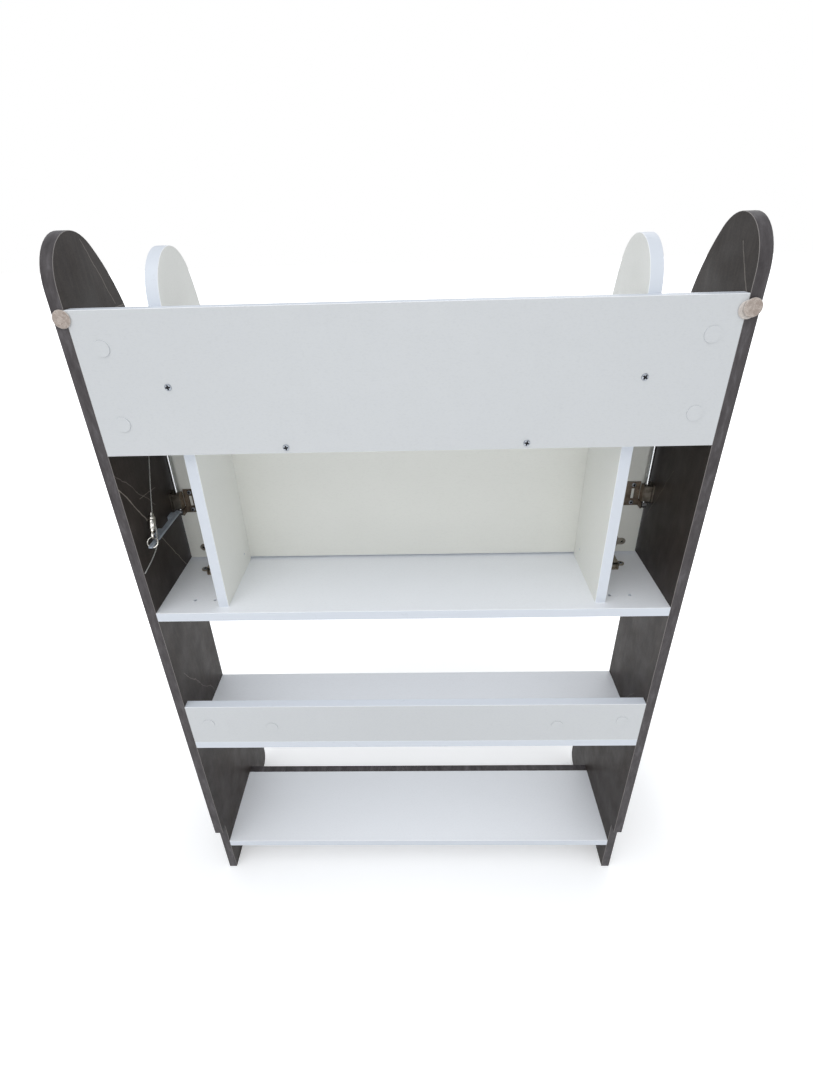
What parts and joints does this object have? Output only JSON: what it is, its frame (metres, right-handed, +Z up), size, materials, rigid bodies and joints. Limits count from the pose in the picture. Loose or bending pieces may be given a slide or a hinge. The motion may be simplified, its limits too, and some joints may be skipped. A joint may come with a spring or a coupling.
{
  "type": "fold-down desk",
  "caption": "Free-standing fold-down desk with flared dark sides, open shelves and a hinged writing flap held by sliding lid stays.",
  "frame": {"origin": "centre of the footprint box on the floor", "axes": "+X to the right as seen from behind, +Y out of the front where the flap opens, +Z up"},
  "size_m": [0.832, 0.311, 1.2419],
  "materials": {
    "dark_stone_laminate": "dark grey-brown stone-pattern laminate, satin",
    "white_laminate": "white melamine faced board, fine satin",
    "nickel_plated_steel": "nickel plated pressed steel",
    "polished_rod": "bright plated rod",
    "zinc_cast_housing": "nickel plated zinc casting",
    "zinc_plated_steel": "zinc plated steel",
    "felt": "pressed wool felt",
    "beech": "fluted beech dowel",
    "cap_plastic": "moulded cover cap",
    "steel_cable": "thin stranded steel cable",
    "bright_plated_brass": "bright nickel plated brass",
    "grey_bar": "light grey painted flat bar"
  },
  "bodies": {
    "cabinet": {"bar_screws": "zinc_plated_steel", "bottom_shelf": "white_laminate", "cable_bar": "grey_bar", "cable_ferrule": "bright_plated_brass", "cable_gripper": "bright_plated_brass", "cable_hanger": "bright_plated_brass", "desk_shelf": "white_laminate", "divider_left": "white_laminate", "divider_right": "white_laminate", "divider_screws": "zinc_plated_steel", "dowels": "beech", "felt_pad_left": "felt", "felt_pad_right": "felt", "felt_pad_upper": "felt", "hinge_arm_left": "nickel_plated_steel", "hinge_arm_right": "nickel_plated_steel", "hinge_base_left": "nickel_plated_steel", "hinge_base_right": "nickel_plated_steel", "hinge_base_screws": "nickel_plated_steel", "kickboard": "dark_stone_laminate", "kickboard_cam_bolts": "zinc_plated_steel", "kickboard_cams": "zinc_plated_steel", "middle_rail": "white_laminate", "middle_shelf": "white_laminate", "panel_cam_bolts": "zinc_plated_steel", "panel_cams": "zinc_plated_steel", "panel_cover_caps": "cap_plastic", "rail_cam_bolts": "zinc_plated_steel", "rail_cams": "zinc_plated_steel", "rail_cover_caps": "cap_plastic", "rear_panel": "white_laminate", "rear_screws": "zinc_plated_steel", "shelf_cam_bolts": "zinc_plated_steel", "shelf_cams": "zinc_plated_steel", "side_panel_left": "dark_stone_laminate", "side_panel_right": "dark_stone_laminate", "snap_hook": "bright_plated_brass", "stay_base_left": "zinc_cast_housing", "stay_base_right": "zinc_cast_housing", "stay_base_screws": "zinc_plated_steel", "stay_cable": "steel_cable", "top_board": "white_laminate"},
    "flap": {"flap": "white_laminate", "hinge_cup_left": "nickel_plated_steel", "hinge_cup_right": "nickel_plated_steel", "cup_screws": "nickel_plated_steel", "bracket_screws": "zinc_plated_steel", "stay_bracket_left": "zinc_cast_housing", "stay_bracket_right": "zinc_cast_housing"},
    "hinge_link_left": {"hinge_link_left": "nickel_plated_steel"},
    "stay_rod_left": {"stay_rod_left": "polished_rod"},
    "stay_block_left": {"stay_block_left": "zinc_cast_housing"},
    "hinge_link_right": {"hinge_link_right": "nickel_plated_steel"},
    "stay_rod_right": {"stay_rod_right": "polished_rod"},
    "stay_block_right": {"stay_block_right": "zinc_cast_housing"}
  },
  "joints": [
    {"name": "flap_hinge", "type": "hinge", "parent": "cabinet", "child": "flap", "pos_m": [0, 0.0185, 0.704], "axis": [-1, 0, 0], "range_deg": [0, 90]},
    {"name": "hinge_link_left_pivot", "type": "hinge", "parent": "cabinet", "child": "hinge_link_left", "pos_m": [-0.345, 0.0071, 0.7192], "axis": [-1, 0, 0], "range_deg": [0, 90]},
    {"name": "stay_rod_left_pivot", "type": "hinge", "parent": "flap", "child": "stay_rod_left", "pos_m": [-0.39, 0.0015, 0.814], "axis": [1, 0, 0], "range_deg": [0, 137.84]},
    {"name": "stay_block_left_pivot", "type": "hinge", "parent": "cabinet", "child": "stay_block_left", "pos_m": [-0.39, 0.0015, 0.836], "axis": [1, 0, 0], "range_deg": [0, 47.84]},
    {"name": "hinge_link_right_pivot", "type": "hinge", "parent": "cabinet", "child": "hinge_link_right", "pos_m": [0.345, 0.0071, 0.7192], "axis": [-1, 0, 0], "range_deg": [0, 90]},
    {"name": "stay_rod_right_pivot", "type": "hinge", "parent": "flap", "child": "stay_rod_right", "pos_m": [0.39, 0.0015, 0.814], "axis": [1, 0, 0], "range_deg": [0, 137.84]},
    {"name": "stay_block_right_pivot", "type": "hinge", "parent": "cabinet", "child": "stay_block_right", "pos_m": [0.39, 0.0015, 0.836], "axis": [1, 0, 0], "range_deg": [0, 47.84]}
  ],
  "couplings": [
    {"joint": "hinge_link_left_pivot", "follows": "flap_hinge", "ratio": 1},
    {"joint": "stay_rod_left_pivot", "follows": "flap_hinge", "ratio": 1.5315},
    {"joint": "stay_block_left_pivot", "follows": "flap_hinge", "ratio": 0.5315},
    {"joint": "hinge_link_right_pivot", "follows": "flap_hinge", "ratio": 1},
    {"joint": "stay_rod_right_pivot", "follows": "flap_hinge", "ratio": 1.5315},
    {"joint": "stay_block_right_pivot", "follows": "flap_hinge", "ratio": 0.5315}
  ]
}
